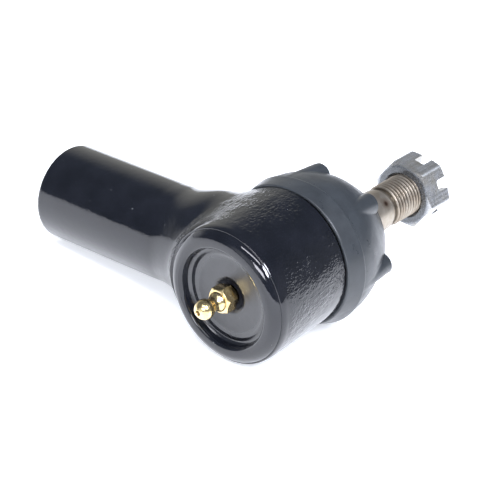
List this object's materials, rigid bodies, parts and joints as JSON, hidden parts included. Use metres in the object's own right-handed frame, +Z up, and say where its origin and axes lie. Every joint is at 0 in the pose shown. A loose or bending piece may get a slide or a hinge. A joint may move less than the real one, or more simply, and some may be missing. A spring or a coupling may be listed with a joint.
{
  "type": "tie rod end",
  "caption": "Greasable tie rod end: a female-threaded socket housing holding a sealed ball stud with a slotted hex nut.",
  "frame": {"origin": "centre of the bounding box on the surface that the joint lies on", "axes": "+Z up from that surface; the tube runs out along -X, about 5 degrees below level, and the ball stud points along +Y, about 4 degrees above level"},
  "size_m": [0.1148, 0.1126, 0.0508],
  "materials": {
    "black_gloss_paint": "gloss",
    "black_paint_plate": "gloss",
    "machined_steel": "machined",
    "nut_steel": "machined",
    "zinc_yellow": "bright",
    "check_ball_steel": "polished",
    "spring_steel": "satin",
    "seat_steel": "satin",
    "boot_rubber": "satin",
    "seal_rubber": "matte",
    "bearing_plastic": "satin"
  },
  "bodies": {
    "socket": {"socket_housing": "black_gloss_paint", "end_plate": "black_paint_plate", "end_plate_seal": "seal_rubber", "preload_spring": "spring_steel", "pressure_seat": "seat_steel", "dust_boot": "boot_rubber", "boot_rim_ring": "spring_steel", "grease_fitting": "zinc_yellow", "fitting_spring": "spring_steel"},
    "upper_bearing_body": {"upper_bearing": "bearing_plastic"},
    "lower_bearing_body": {"lower_bearing": "bearing_plastic"},
    "stud": {"ball_stud": "machined_steel", "boot_lip_ring": "spring_steel"},
    "nut": {"castle_nut": "nut_steel"},
    "check_ball": {"fitting_check_ball": "check_ball_steel"}
  },
  "joints": [
    {"name": "stud_swing", "type": "hinge", "parent": "socket", "child": "upper_bearing_body", "pos_m": [0.03203, -0.02315, 0.02418], "axis": [-0.0924, -0.0756, 0.9928], "range_deg": [-18, 18], "deforming": ["dust_boot"]},
    {"name": "stud_tilt", "type": "hinge", "parent": "upper_bearing_body", "child": "lower_bearing_body", "pos_m": [0.03203, -0.02315, 0.02418], "axis": [0.9957, 0, 0.0927], "range_deg": [-18, 18], "deforming": ["dust_boot"]},
    {"name": "stud_spin", "type": "hinge", "parent": "lower_bearing_body", "child": "stud", "pos_m": [0.03203, -0.02315, 0.02418], "axis": [-0.007, 0.9971, 0.0753], "continuous": true, "deforming": ["dust_boot"]},
    {"name": "nut_turn", "type": "hinge", "parent": "stud", "child": "nut", "pos_m": [0.03152, 0.0499, 0.0297], "axis": [-0.007, 0.9971, 0.0753], "continuous": true},
    {"name": "check_ball_press", "type": "slide", "parent": "socket", "child": "check_ball", "axis": [-0.007, 0.9971, 0.0753], "range_m": [0, 0.0008], "stiffness_N_per_m": 300, "springref_m": -0.0006, "deforming": ["fitting_spring"]}
  ]
}
